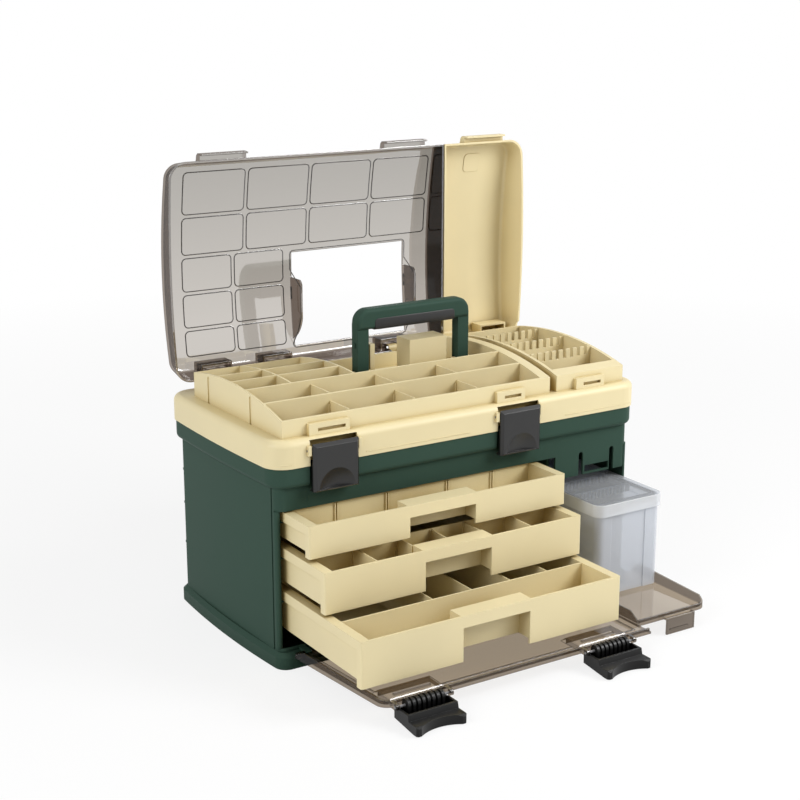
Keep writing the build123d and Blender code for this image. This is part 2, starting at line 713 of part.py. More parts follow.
def hinge_housing(center_x):
    """Open box under a lid around one hinge post."""
    with BuildPart() as housing:
        box_between(center_x - housing_half, center_x + housing_half, housing_front, lid_back - 1, housing_bottom, 319)
        box_between(center_x - housing_half + lid_thickness, center_x + housing_half - lid_thickness,
                    housing_front + lid_thickness, lid_back + 5, housing_bottom - 1, 317, Mode.SUBTRACT)
    return housing.part


def hinge_ears(center_x):
    """Two ears with the moulded pin that turns in the post."""
    inner = post_half + post_clearance
    outer = inner + ear_thickness
    with BuildPart() as ears:
        for side in (-1, 1):
            x0 = center_x + min(side * inner, side * outer)
            x1 = center_x + max(side * inner, side * outer)
            rod_x(x0, x1, lid_hinge_y, lid_hinge_z, post_radius - 0.5)
            box_between(x0, x1, lid_hinge_y - post_radius + 0.5, lid_hinge_y + 2, lid_hinge_z, 318)
        rod_x(center_x - outer, center_x + outer, lid_hinge_y, lid_hinge_z, lid_pin_radius)
    return ears.part


def field_pads(fields):
    """Shallow raised fields on a lid's underside, rounded in plan."""
    with BuildPart() as pads:
        with BuildSketch(Plane.XY.offset(300)):
            for x0, x1, y0, y1 in fields:
                with Locations(((x0 + x1) / 2, (y0 + y1) / 2)):
                    RectangleRounded(x1 - x0 - 4, y1 - y0 - 4, 6)
        extrude(amount=60)
        add(arched_block(-300, 300, lid_front, lid_back, lowered(lid_tops, lid_thickness - 0.2), 250),
            mode=Mode.INTERSECT)
        add(arched_block(-300, 300, lid_front, lid_back, lowered(lid_tops, lid_thickness + pad_height), 250),
            mode=Mode.SUBTRACT)
    return pads.part


def opened(part):
    """Turn a closed lid up about its hinge."""
    return part.rotate(Axis((0, lid_hinge_y, lid_hinge_z), (1, 0, 0)), -lid_open_angle)


lid_outside = lid_form(0)
lid_inside = lid_form(lid_thickness)
field_rows = [-128.5, -68.3, -14.9, 34.0, 81.8, 120.0]
field_columns = [-246.0, -152.2, -56.7, 40.1, 134.8]
side_field_columns = [-246.0, -170.0, -92.0]
smoke_fields = []
for row in range(2):
    for column in range(4):
        smoke_fields.append((field_columns[column], field_columns[column + 1], field_rows[row], field_rows[row + 1]))
for row in range(2, 5):
    for column in range(2):
        smoke_fields.append((side_field_columns[column], side_field_columns[column + 1], field_rows[row],
                             field_rows[row + 1]))
smoke_pads = field_pads(smoke_fields)
side_pads = field_pads([(192, 224, -126, -96)])

smoke_fittings = [lid_tab(-198.5), lid_tab(77.0)] + [hinge_housing(x) for x in smoke_posts_at]
smoke_ears = [hinge_ears(x) for x in smoke_posts_at]
side_fittings = [lid_tab(209.5)] + [hinge_housing(x) for x in side_posts_at]
side_ears = [hinge_ears(x) for x in side_posts_at]

window_walls = []
for wall_left in (window_left - lid_thickness, window_right):
    with BuildPart() as window_wall:
        with BuildSketch(Plane.YZ.offset(wall_left)):
            with BuildLine():
                Polyline((80, 300), (32, 300), (27.5, 305), (27.5, 330.5), (112.5, 327))
                ThreePointArc((112.5, 327), (100, 310), (80, 300))
            make_face()
        extrude(amount=lid_thickness)
    window_walls.append(window_wall.part)

with BuildPart() as smoke_core:
    add(lid_inside)
    box_between(smoke_right - lid_thickness, 320, -200, 200, 250, 400, Mode.SUBTRACT)
with BuildPart() as smoke_lid:
    add(lid_outside)
    box_between(smoke_right, 320, -200, 200, 250, 400, Mode.SUBTRACT)
    add(smoke_core.part, mode=Mode.SUBTRACT)
    box_between(-320, 320, housing_front, lid_back + 5, lid_rim_z - 5, lid_rear_rim, Mode.SUBTRACT)
    for fitting in smoke_fittings + window_walls:
        add(fitting)
    add(smoke_pads)
    for post_x in smoke_posts_at:
        box_between(post_x - post_half - post_clearance, post_x + post_half + post_clearance, lid_hinge_y - 6.5,
                    lid_back + 6, lid_rim_z - 5, lid_hinge_z + 6.5, Mode.SUBTRACT)
    for ears in smoke_ears:
        add(ears)
    box_between(window_left, window_right, window_front, window_back, 295, 345, Mode.SUBTRACT)
save(opened(smoke_lid.part), "smoke_lid")

with BuildPart() as side_core:
    add(lid_inside)
    box_between(-320, side_left + lid_thickness, -200, 200, 250, 400, Mode.SUBTRACT)
with BuildPart() as side_lid:
    add(lid_outside)
    box_between(-320, side_left, -200, 200, 250, 400, Mode.SUBTRACT)
    add(side_core.part, mode=Mode.SUBTRACT)
    box_between(-320, 320, housing_front, lid_back + 5, lid_rim_z - 5, lid_rear_rim, Mode.SUBTRACT)
    for fitting in side_fittings:
        add(fitting)
    add(side_pads)
    for post_x in side_posts_at:
        box_between(post_x - post_half - post_clearance, post_x + post_half + post_clearance, lid_hinge_y - 6.5,
                    lid_back + 6, lid_rim_z - 5, lid_hinge_z + 6.5, Mode.SUBTRACT)
    for ears in side_ears:
        add(ears)
save(opened(side_lid.part), "side_lid")


# Handle: two legs on pins and a thick rounded grip with a dark insert let into its underside
handle_inner = handle_half - handle_leg
grip_insert_half = 62.0
grip_insert_top = 381.0
with BuildPart() as grip:
    box_between(handle_x - handle_half, handle_x + handle_half, handle_y - grip_depth / 2,
                handle_y + grip_depth / 2, handle_top - grip_height, handle_top)
    fillet(grip.edges().filter_by(Axis.Y).group_by(Axis.Z)[-1], 18.0)
    fillet(grip.faces().sort_by(Axis.Y)[0].edges(), 5.0)
    fillet(grip.faces().sort_by(Axis.Y)[-1].edges(), 5.0)
with BuildPart() as handle:
    add(grip.part)
    for leg_left, leg_right in (handle_left_leg, handle_right_leg):
        box_between(leg_left, leg_right, handle_y - handle_depth / 2, handle_y + handle_depth / 2, handle_pivot_z,
                    handle_top - grip_height + 8)
        rod_x(leg_left, leg_right, handle_y, handle_pivot_z, handle_depth / 2)
        rod_x(leg_left - 1, leg_right + 1, handle_y, handle_pivot_z, handle_pin_radius + pin_clearance, Mode.SUBTRACT)
    for side in (-1, 1):
        nub_x = handle_x + side * (handle_half + 0.5)
        box_between(nub_x - 1.5, nub_x + 1.5, handle_y - 3, handle_y + 3, 349, 355)
    box_between(handle_x - grip_insert_half, handle_x + grip_insert_half, handle_y - grip_depth,
                handle_y + grip_depth, grip_insert_bottom - 2, grip_insert_top, Mode.SUBTRACT)
save(handle.part, "handle")

with BuildPart() as handle_grip:
    box_between(handle_x - grip_insert_half + 0.1, handle_x + grip_insert_half - 0.1, handle_y - grip_depth / 2 - 0.4,
                handle_y + grip_depth / 2 + 0.4, grip_insert_bottom, grip_insert_top - 0.1)
    fillet(handle_grip.edges().filter_by(Axis.X).group_by(Axis.Z)[0], 3.0)
save(handle_grip.part, "handle_grip")


# Lid latches: a bevelled plate on a barrel, with a round scoop for the finger and a nib at the foot
scoop_center_z = lid_latch_bottom + 2
scoop_sphere = (scoop_radius ** 2 + scoop_depth ** 2) / (2 * scoop_depth)
latch_nib_y = -142.1
latch_barrel_radius = 4.2
latch_bevel = 3.4
for name, latch_x in latch_centers.items():
    with BuildPart() as scoop:
        with Locations((latch_x, lid_latch_front + scoop_depth - scoop_sphere, scoop_center_z)):
            Sphere(scoop_sphere)
        box_between(latch_x - scoop_radius - 1, latch_x + scoop_radius + 1, lid_latch_front - 1, lid_latch_back + 3,
                    scoop_center_z, lid_latch_top, Mode.INTERSECT)
    with BuildPart() as lid_latch:
        with BuildSketch(Plane.YZ.offset(latch_x - lid_latch_width / 2)):
            with BuildLine():
                Polyline((lid_latch_back, lid_latch_top), (lid_latch_front, lid_latch_top - 4),
                         (lid_latch_front, lid_latch_bottom + 1.5), (lid_latch_front + 1.5, lid_latch_bottom),
                         (latch_nib_y, lid_latch_bottom), (latch_nib_y, lid_latch_bottom + 2),
                         (lid_latch_back + 2.3, lid_latch_bottom + 5), (lid_latch_back + 2.3, lid_latch_bottom + 32),
                         (lid_latch_back, lid_latch_bottom + 36), close=True)
            make_face()
            with Locations((lid_latch_axis_y, lid_latch_axis_z)):
                Circle(latch_barrel_radius)
            with Locations(((lid_latch_back + lid_latch_axis_y) / 2 - 0.5, lid_latch_axis_z)):
                Rectangle(lid_latch_axis_y - lid_latch_back + 1, 2 * latch_barrel_radius)
        extrude(amount=lid_latch_width)
        chamfer(lid_latch.faces().sort_by(Axis.Y)[0].edges().filter_by(Axis.Z), latch_bevel)
        add(scoop.part, mode=Mode.SUBTRACT)
        rod_x(latch_x - lid_latch_width, latch_x + lid_latch_width, lid_latch_axis_y, lid_latch_axis_z,
              latch_pin_radius + pin_clearance, Mode.SUBTRACT)
    save(lid_latch.part, f"lid_latch_{name}")


# Doors, lying flat in front of the cabinet
door_barrel_radius = 4.2
door_barrel_length = 10.0
cheek_thickness = 4.5
boss_half = 40.0
boss_front = main_door_edge + door_rim_thickness
boss_rear = main_door_edge + 38.0
boss_slope = 4.5
boss_wall = 2.0
boss_slot_half = 25.0
boss_slot_front = main_door_edge + 14.5
boss_slot_width = 3.5
frame_line_inset = 14.0
frame_line_width = 2.0


def door_rim(outline, skirt_top, rear, front, x0, x1):
    """Rim along a door's outline, cut to a side profile that rises from the hinge and falls to the front."""
    with BuildPart() as rim:
        with BuildSketch(Plane.XY.offset(door_low)):
            add(outline)
            offset(outline, amount=-door_rim_thickness, kind=Kind.INTERSECTION, mode=Mode.SUBTRACT)
        extrude(amount=skirt_top - door_low)
        with BuildSketch(Plane.YZ.offset(x0)):
            with BuildLine():
                Line((rear, door_low), (rear, door_low + door_thickness))
                ThreePointArc((rear, door_low + door_thickness), (rear - 5, skirt_top - 4), (rear - 16, skirt_top))
                Line((rear - 16, skirt_top), (front + 16, (skirt_top + door_rim_top) / 2))
                ThreePointArc((front + 16, (skirt_top + door_rim_top) / 2), (front + 9, door_rim_top + 1),
                              (front + door_rim_thickness, door_rim_top))
                Polyline((front + door_rim_thickness, door_rim_top), (front - 1, door_rim_top), (front - 1, door_low),
                         (rear, door_low))
            make_face()
        extrude(amount=x1 - x0, mode=Mode.INTERSECT)
    return rim.part


def hinge_barrels(ears_at):
    """Barrels on the door rod to both sides of each ear."""
    with BuildPart() as barrels:
        for ear_x in ears_at:
            for side in (-1, 1):
                near = ear_x + side * 4.4
                far = near + side * door_barrel_length
                rod_x(min(near, far), max(near, far), door_hinge_y, door_hinge_z, door_barrel_radius)
                box_between(min(near, far), max(near, far), door_back - 1, door_hinge_y, door_low,
                            door_low + door_thickness)
    return barrels.part


def latch_boss(center_x):
    """Raised boss with sloping sides behind a door latch."""
    with BuildPart() as boss:
        box_between(center_x - boss_half, center_x + boss_half, boss_front, boss_rear, door_low, door_rim_top)
        chamfer(boss.faces().sort_by(Axis.Z)[-1].edges(), boss_slope)
    return boss.part


main_barrels = hinge_barrels(door_ears_at["main"])
bay_barrels = hinge_barrels(door_ears_at["bay"])
bosses = [latch_boss(latch_x) for latch_x in door_latch_centers.values()]
main_door_right = door_split - door_split_gap
with BuildSketch() as main_door_outline:
    with BuildLine():
        Polyline((main_door_left_rear, door_back), (main_door_left_front, main_door_edge),
                 (main_door_right, main_door_edge), (main_door_right, door_back), close=True)
    make_face()
    fillet(main_door_outline.vertices().sort_by(Axis.X)[1], door_corner_radius)
main_rim = door_rim(main_door_outline.sketch, main_door_skirt_top, door_back - 3, main_door_edge,
                    main_door_left_rear - 5, main_door_right - door_rim_thickness)
with BuildPart() as main_door:
    with BuildSketch(Plane.XY.offset(door_low)):
        add(main_door_outline.sketch)
    extrude(amount=door_thickness)
    add(main_rim)
    # a low frame on the plate
    with BuildSketch(Plane.XY.offset(door_low + door_thickness)):
        offset(main_door_outline.sketch, amount=-frame_line_inset, kind=Kind.INTERSECTION)
        offset(main_door_outline.sketch, amount=-frame_line_inset - frame_line_width, kind=Kind.INTERSECTION,
               mode=Mode.SUBTRACT)
    extrude(amount=1)
    for boss in bosses:
        add(boss)
    for latch_x in door_latch_centers.values():
        # the boss is open from below and slotted through its top
        box_between(latch_x - boss_half + boss_slope, latch_x + boss_half - boss_slope, boss_front + boss_wall,
                    boss_rear - boss_slope, door_low - 1, door_rim_top - boss_wall, Mode.SUBTRACT)
        box_between(latch_x - boss_slot_half, latch_x + boss_slot_half, boss_slot_front,
                    boss_slot_front + boss_slot_width, door_low - 1, door_rim_top + 1, Mode.SUBTRACT)
        # cheeks that carry the latch pin
        for side in (-1, 1):
            near = latch_x + side * (door_latch_half + door_latch_side_gap)
            far = near + side * cheek_thickness
            rod_x(min(near, far), max(near, far), door_latch_axis_y, door_latch_axis_z, 4.0)
            box_between(min(near, far), max(near, far), door_latch_axis_y, main_door_edge + 2, door_low + 0.5,
                        door_latch_axis_z + 4)
        pin_reach = door_latch_half + door_latch_side_gap + cheek_thickness
        rod_x(latch_x - pin_reach, latch_x + pin_reach, door_latch_axis_y, door_latch_axis_z, latch_pin_radius,
              Mode.SUBTRACT)
    add(main_barrels)
    rod_x(-280, 160, door_hinge_y, door_hinge_z, door_rod_radius + pin_clearance, Mode.SUBTRACT)
save(main_door.part, "main_door")

with BuildPart() as door_latch_pins:
    for latch_x in door_latch_centers.values():
        rod_x(latch_x - pin_reach, latch_x + pin_reach, door_latch_axis_y, door_latch_axis_z, latch_pin_radius)
save(door_latch_pins.part, "door_latch_pins")

with BuildSketch() as bay_door_outline:
    with BuildLine():
        Polyline((door_split, door_back), (door_split, bay_door_edge), (door_right, bay_door_edge),
                 (door_right, door_back), close=True)
    make_face()
    fillet(bay_door_outline.vertices().group_by(Axis.Y)[0].sort_by(Axis.X)[-1], door_corner_radius)
bay_rim = door_rim(bay_door_outline.sketch, bay_door_skirt_top, door_back - 3, bay_door_edge,
                   door_split + door_rim_thickness, door_right + 1)
bay_wall_thickness = 1.7
with BuildPart() as bay_inner_wall:
    with BuildSketch(Plane.YZ.offset(door_split)):
        with BuildLine():
            Polyline((-232, 31), (-240, 35), (bay_door_edge + 16, 35), (bay_door_edge + 2, door_rim_top),
                     (bay_door_edge + 2, door_low), (door_back - 3, door_low), (door_back - 3, 23.5), (-222, 24.5))
            ThreePointArc((-222, 24.5), (-228, 26.5), (-232, 31))
        make_face()
    extrude(amount=bay_wall_thickness)
snap_reach = 8.4
with BuildPart() as bay_door:
    with BuildSketch(Plane.XY.offset(door_low)):
        add(bay_door_outline.sketch)
    extrude(amount=door_thickness)
    add(bay_rim)
    add(bay_inner_wall.part)
    # snap tab that hooks over the tongue in the apron
    box_between(bay_snap_left, bay_snap_right, bay_door_edge - snap_reach, bay_door_edge + 1, 19.6, 22.6)
    box_between(bay_snap_left, bay_snap_right, bay_door_edge - snap_reach, bay_door_edge - snap_reach + 2.5, 0.6, 22.6)
    box_between(bay_snap_left + 8, bay_snap_right - 8, bay_door_edge - snap_reach + 2, bay_door_edge - snap_reach + 4,
                4, 6)
    add(bay_barrels)
    rod_x(140, 280, door_hinge_y, door_hinge_z, door_rod_radius + pin_clearance, Mode.SUBTRACT)
save(bay_door.part, "bay_door")


# Door latches: a hollow body with a concave tip, hung from a ribbed barrel
door_latch_wall = 3.0
body_rear = main_door_edge + 0.5
step_y = door_latch_axis_y - 19
tip_top = 12.0
body_top = 19.4
ring_pitch = 2 * door_latch_barrel_half / (door_latch_ring_count - 0.4)
ring_width = 0.6 * ring_pitch
tip_hollow_depth = 8.0
tip_hollow_half = door_latch_half - 6
tip_hollow_radius = (tip_hollow_half ** 2 + tip_hollow_depth ** 2) / (2 * tip_hollow_depth)
for name, latch_x in door_latch_centers.items():
    with BuildPart() as door_latch:
        with BuildSketch(Plane.YZ.offset(latch_x - door_latch_half)):
            with BuildLine():
                Polyline((body_rear, 5.5), (body_rear, 16.8), (door_latch_axis_y - 2, body_top), (step_y, body_top),
                         (step_y - 2, tip_top), (door_latch_tip + 3, tip_top), (door_latch_tip, tip_top - 2),
                         (door_latch_tip, door_latch_low), (door_latch_tip + 8, door_latch_low), close=True)
            make_face()
        extrude(amount=2 * door_latch_half)
        chamfer(door_latch.edges().filter_by(Axis.Z).group_by(Axis.Y)[0], 2.0)
        box_between(latch_x - door_latch_half + door_latch_wall, latch_x + door_latch_half - door_latch_wall,
                    step_y + door_latch_wall, body_rear - door_latch_wall, 7.5, body_top + 1, Mode.SUBTRACT)
        with Locations((latch_x, door_latch_tip + tip_hollow_depth - tip_hollow_radius, tip_top)):
            Cylinder(tip_hollow_radius, 3 * tip_top, mode=Mode.SUBTRACT)
        # ribbed barrel, its ribs standing on the body's floor
        rod_x(latch_x - door_latch_barrel_half, latch_x + door_latch_barrel_half, door_latch_axis_y,
              door_latch_axis_z, door_latch_ring_radius - 2.2)
        for ring in range(door_latch_ring_count):
            ring_left = latch_x - door_latch_barrel_half + ring * ring_pitch
            rod_x(ring_left, ring_left + ring_width, door_latch_axis_y, door_latch_axis_z, door_latch_ring_radius)
            box_between(ring_left, ring_left + ring_width, door_latch_axis_y - door_latch_ring_radius,
                        door_latch_axis_y + 3, 7, door_latch_axis_z)
        rod_x(latch_x - door_latch_half, latch_x + door_latch_half, door_latch_axis_y, door_latch_axis_z,
              latch_pin_radius + pin_clearance, Mode.SUBTRACT)
    save(door_latch.part, f"door_latch_{name}")


# Lure box: a deep clear box, its banded lid and the comb under the lid
lure_back = lure_front + lure_depth
lure_mid_x = (lure_left + lure_right) / 2
lure_mid_y = (lure_front + lure_back) / 2
lure_overlap = 2.2
lure_inset = lure_wall + 1.0


def lure_plan(inset):
    """The box's plan: rounded corners and a shallow panel pressed into the front and the back."""
    with BuildSketch() as plan:
        with Locations((lure_mid_x, lure_mid_y)):
            RectangleRounded(lure_right - lure_left - 2 * inset, lure_depth - 2 * inset, lure_radius - inset)
        panel_width = lure_panel_right - lure_panel_left
        for panel_y in (lure_front + inset, lure_back - inset):
            with Locations(((lure_panel_left + lure_panel_right) / 2, panel_y)):
                Rectangle(panel_width, 2 * lure_panel_depth, mode=Mode.SUBTRACT)
    return plan.sketch


with BuildPart() as lure_box:
    with BuildSketch(Plane.XY.offset(lure_bottom)):
        add(lure_plan(lure_inset))
    extrude(amount=lure_top - lure_rim + lure_overlap - lure_bottom)
    with BuildSketch(Plane.XY.offset(lure_bottom + lure_wall)):
        add(lure_plan(lure_inset + lure_wall))
    extrude(amount=lure_top, mode=Mode.SUBTRACT)
save(lure_box.part, "lure_box")

with BuildPart() as lure_box_lid:
    with BuildSketch(Plane.XY.offset(lure_top - lure_rim)):
        with Locations((lure_mid_x, lure_mid_y)):
            RectangleRounded(lure_right - lure_left, lure_depth, lure_radius)
    extrude(amount=lure_rim)
    fillet(lure_box_lid.edges().group_by(Axis.Z)[-1], 1.5)
    with BuildSketch(Plane.XY.offset(lure_top - lure_rim)):
        with Locations((lure_mid_x, lure_mid_y)):
            RectangleRounded(lure_right - lure_left - 2 * (lure_inset - 0.2), lure_depth - 2 * (lure_inset - 0.2),
                             lure_radius - lure_inset + 0.2)
    extrude(amount=lure_overlap, mode=Mode.SUBTRACT)
    with BuildSketch(Plane.XY.offset(lure_top - lure_rim)):
        with Locations((lure_mid_x, lure_mid_y)):
            RectangleRounded(lure_right - lure_left - 4 * lure_wall, lure_depth - 4 * lure_wall,
                             lure_radius - 2 * lure_wall)
    extrude(amount=lure_rim - lure_wall, mode=Mode.SUBTRACT)
save(lure_box_lid.part, "lure_box_lid")

comb_side_gap = 2 * lure_wall + 2
lure_rack_top = lure_top - lure_wall
lure_rack_low = lure_rack_top - lure_rack_drop
first_tooth_x = lure_mid_x - (lure_tooth_count - 1) / 2 * lure_tooth_pitch
with BuildPart() as lure_box_comb:
    for rack_y in lure_racks_at:
        box_between(lure_left + comb_side_gap, lure_right - comb_side_gap, rack_y - 1, rack_y + 1, lure_rack_low,
                    lure_rack_top)
        for tooth in range(lure_tooth_count):
            gap_x = first_tooth_x + tooth * lure_tooth_pitch
            box_between(gap_x - 1.4, gap_x + 1.4, rack_y - 2, rack_y + 2, lure_rack_low - 1, lure_rack_top - 3,
                        Mode.SUBTRACT)
    for rail_x in (lure_left + comb_side_gap, lure_right - comb_side_gap - 2):
        box_between(rail_x, rail_x + 2, lure_racks_at[0], lure_racks_at[-1], lure_rack_top - 4, lure_rack_top)
save(lure_box_comb.part, "lure_box_comb")
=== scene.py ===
import bpy
import math
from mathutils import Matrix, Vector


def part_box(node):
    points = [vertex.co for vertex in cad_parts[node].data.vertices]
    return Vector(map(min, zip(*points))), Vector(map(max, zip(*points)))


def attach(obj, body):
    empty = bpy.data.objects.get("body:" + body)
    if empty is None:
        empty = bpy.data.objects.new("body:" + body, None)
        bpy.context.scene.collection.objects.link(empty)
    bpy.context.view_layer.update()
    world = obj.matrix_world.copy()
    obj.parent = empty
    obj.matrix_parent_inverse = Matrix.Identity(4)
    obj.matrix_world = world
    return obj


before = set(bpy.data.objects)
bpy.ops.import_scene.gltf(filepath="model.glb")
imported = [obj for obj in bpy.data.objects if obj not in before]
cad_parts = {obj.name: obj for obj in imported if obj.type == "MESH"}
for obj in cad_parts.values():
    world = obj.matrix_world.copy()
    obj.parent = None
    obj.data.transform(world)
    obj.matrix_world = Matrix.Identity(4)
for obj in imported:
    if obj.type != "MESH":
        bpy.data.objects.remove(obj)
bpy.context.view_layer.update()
scene = bpy.context.scene
bpy.ops.object.select_all(action="DESELECT")

# Camera
# Stands in front of the box's left corner, a little above its drawers, with a
# longish lens, as the open box was photographed.
camera_place = (-1.0997, -1.7026, 0.8157)
camera_turn = (math.radians(74.88), 0, math.radians(-32.6))
bpy.ops.object.camera_add(location=camera_place, rotation=camera_turn)
camera = bpy.context.object
camera.name = "studio_camera"
camera.data.sensor_width = 36.0
camera.data.lens = 71.06
camera.data.clip_end = 50
scene.camera = camera

# Studio
# A white floor that fades into a white surround, and large soft lamps: one from
# the front right, one from the left, a faint one low in front and one above.
scene.view_settings.view_transform = "Standard"
floor_size = 40
floor_level = -0.0004
bpy.ops.mesh.primitive_plane_add(size=floor_size, location=(0, 0, floor_level))
floor = bpy.context.object
floor.name = "studio_floor"
bpy.ops.object.transform_apply(location=True)


def reckoned(tree, operation, first, second=None):
    """The result of a math node whose inputs are other nodes' outputs or plain numbers."""
    step = tree.nodes.new("ShaderNodeMath")
    step.operation = operation
    for socket, source in zip(step.inputs, (first, second)):
        if isinstance(source, bpy.types.NodeSocket):
            tree.links.new(source, socket)
        elif source is not None:
            socket.default_value = source
    return step.outputs[0]


def ramped(tree, source, start, end, low=0.0, high=1.0):
    """Runs from low to high while the source runs from start to end, and holds outside them."""
    step = tree.nodes.new("ShaderNodeMapRange")
    step.inputs["From Min"].default_value = start
    step.inputs["From Max"].default_value = end
    step.inputs["To Min"].default_value = low
    step.inputs["To Max"].default_value = high
    tree.links.new(source, step.inputs["Value"])
    return step.outputs["Result"]


def mixed_shaders(tree, share, first, second):
    """The first shader, with a share of the second over it."""
    step = tree.nodes.new("ShaderNodeMixShader")
    tree.links.new(share, step.inputs["Fac"])
    tree.links.new(first, step.inputs[1])
    tree.links.new(second, step.inputs[2])
    return step.outputs[0]


def sees_background(tree):
    """1 for rays that look at the background, straight, mirrored or through glass."""
    path = tree.nodes.new("ShaderNodeLightPath")
    straight = reckoned(tree, "MAXIMUM", path.outputs["Is Camera Ray"], path.outputs["Is Glossy Ray"])
    return reckoned(tree, "MAXIMUM", straight, path.outputs["Is Transmission Ray"])


white_floor = bpy.data.materials.new("white_floor")
white_floor.use_nodes = True
tree = white_floor.node_tree
painted = tree.nodes["Principled BSDF"]
painted.inputs["Base Color"].default_value = (0.9, 0.9, 0.9, 1)
painted.inputs["Roughness"].default_value = 0.8
painted.inputs["Specular IOR Level"].default_value = 0.1
glow = tree.nodes.new("ShaderNodeEmission")
glow.inputs["Strength"].default_value = 1.0
where = tree.nodes.new("ShaderNodeTexCoord")
reach = tree.nodes.new("ShaderNodeVectorMath")
reach.operation = "LENGTH"
tree.links.new(where.outputs["Object"], reach.inputs[0])
fade = ramped(tree, reach.outputs["Value"], 0.5, 2.2, 0.8, 1.0)
share = reckoned(tree, "MULTIPLY", sees_background(tree), fade)
surface = mixed_shaders(tree, share, painted.outputs[0], glow.outputs[0])
tree.links.new(surface, tree.nodes["Material Output"].inputs["Surface"])
floor.data.materials.append(white_floor)

world = bpy.data.worlds.new("studio_world")
scene.world = world
world.use_nodes = True
tree = world.node_tree
tree.nodes.clear()
room_light = tree.nodes.new("ShaderNodeBackground")
room_light.inputs["Color"].default_value = (1, 1, 1, 1)
room_light.inputs["Strength"].default_value = 0.30
backdrop = tree.nodes.new("ShaderNodeBackground")
backdrop.inputs["Color"].default_value = (1, 1, 1, 1)
backdrop.inputs["Strength"].default_value = 1.0
out = tree.nodes.new("ShaderNodeOutputWorld")
surround = mixed_shaders(tree, sees_background(tree), room_light.outputs[0], backdrop.outputs[0])
tree.links.new(surround, out.inputs["Surface"])

for name, place, turn, size, watts in (
    ("right_lamp", (1.4, -1.35, 1.5), (55, 0, 50), 1.1, 42),
    ("left_lamp", (-2.3, -0.55, 1.4), (64, 0, -78), 1.4, 32),
    ("low_lamp", (-0.7, -2.6, 0.75), (78, 0, -15), 0.5, 2),
    ("top_lamp", (0.0, 0.2, 2.7), (0, 0, 0), 2.0, 9),
):
    bpy.ops.object.light_add(type="AREA", location=place, rotation=[math.radians(a) for a in turn])
    lamp = bpy.context.object
    lamp.name = name
    lamp.data.size = size
    lamp.data.energy = watts

# Cabinet shell
# One injection moulding of dark green polypropylene with a fine satin grain; its
# edges keep the thin soft highlight of a moulded radius.


def blended(tree, share, first, second):
    """A colour between the first and the second, each a plain colour or a node's output."""
    step = tree.nodes.new("ShaderNodeMix")
    step.data_type = "RGBA"
    tree.links.new(share, step.inputs["Factor"])
    for socket, source in ((step.inputs["A"], first), (step.inputs["B"], second)):
        if isinstance(source, bpy.types.NodeSocket):
            tree.links.new(source, socket)
        else:
            socket.default_value = (*source, 1)
    return step.outputs["Result"]


def softened(tree, radius, samples):
    """The normal, rounded over each sharp edge."""
    soft = tree.nodes.new("ShaderNodeBevel")
    soft.samples = samples
    soft.inputs["Radius"].default_value = radius
    return soft.outputs["Normal"]


def noise(tree, where, scale, detail):
    """Smooth noise in the piece's own coordinates."""
    step = tree.nodes.new("ShaderNodeTexNoise")
    step.inputs["Scale"].default_value = scale
    step.inputs["Detail"].default_value = detail
    tree.links.new(where.outputs["Object"], step.inputs["Vector"])
    return step.outputs["Fac"]


def moulded(name, colour, painted_shade_colour, roughness, gloss, grain, grain_scale, edge_radius):
    """Moulded plastic: slow tone drift, painted shade (a deeper colour and a dimmer reflection) in its
    corners and hollows, fine grain and softened edges.
    """
    material = bpy.data.materials.new(name)
    material.use_nodes = True
    tree = material.node_tree
    shade = tree.nodes["Principled BSDF"]
    shade.inputs["Specular IOR Level"].default_value = gloss
    where = tree.nodes.new("ShaderNodeTexCoord")
    cloud = noise(tree, where, scale=9, detail=3)
    tone = tree.nodes.new("ShaderNodeValToRGB")
    darker, full = tone.color_ramp.elements
    darker.position = 0.3
    darker.color = (*[part * 0.95 for part in colour], 1)
    full.position = 0.7
    full.color = (*colour, 1)
    tree.links.new(cloud, tone.inputs["Fac"])
    # Painted shade: an occlusion probe blends the deeper shade colour into the base colour in corners
    # and hollows, and dims the reflection there.
    corner = tree.nodes.new("ShaderNodeAmbientOcclusion")
    corner.samples = 6
    corner.inputs["Distance"].default_value = 0.05
    unshaded_share = ramped(tree, corner.outputs["AO"], 0.12, 0.7)
    pigment_and_painted_shade = blended(tree, unshaded_share, painted_shade_colour, tone.outputs["Color"])
    tree.links.new(pigment_and_painted_shade, shade.inputs["Base Color"])
    tree.links.new(unshaded_share, shade.inputs["Specular Tint"])
    bump = tree.nodes.new("ShaderNodeBump")
    bump.inputs["Strength"].default_value = grain
    bump.inputs["Distance"].default_value = 0.0004
    tree.links.new(noise(tree, where, scale=grain_scale, detail=2), bump.inputs["Height"])
    tree.links.new(softened(tree, edge_radius, samples=6), bump.inputs["Normal"])
    tree.links.new(bump.outputs["Normal"], shade.inputs["Normal"])
    rough = ramped(tree, cloud, 0.0, 1.0, roughness - 0.05, roughness + 0.05)
    tree.links.new(rough, shade.inputs["Roughness"])
    return material


def dress(material, *names):
    """Gives the named CAD pieces this material alone."""
    for name in names:
        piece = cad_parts[name]
        piece.data.materials.clear()
        piece.data.materials.append(material)


green_plastic = moulded(
    "green_plastic",
    colour=(0.038, 0.073, 0.055),
    # the deeper colour is painted shade for corners and hollows
    painted_shade_colour=(0.014, 0.032, 0.021),
    roughness=0.45,
    gloss=0.04,
    grain=0.15,
    grain_scale=900,
    edge_radius=0.0008,
)
dress(green_plastic, "cabinet_shell")

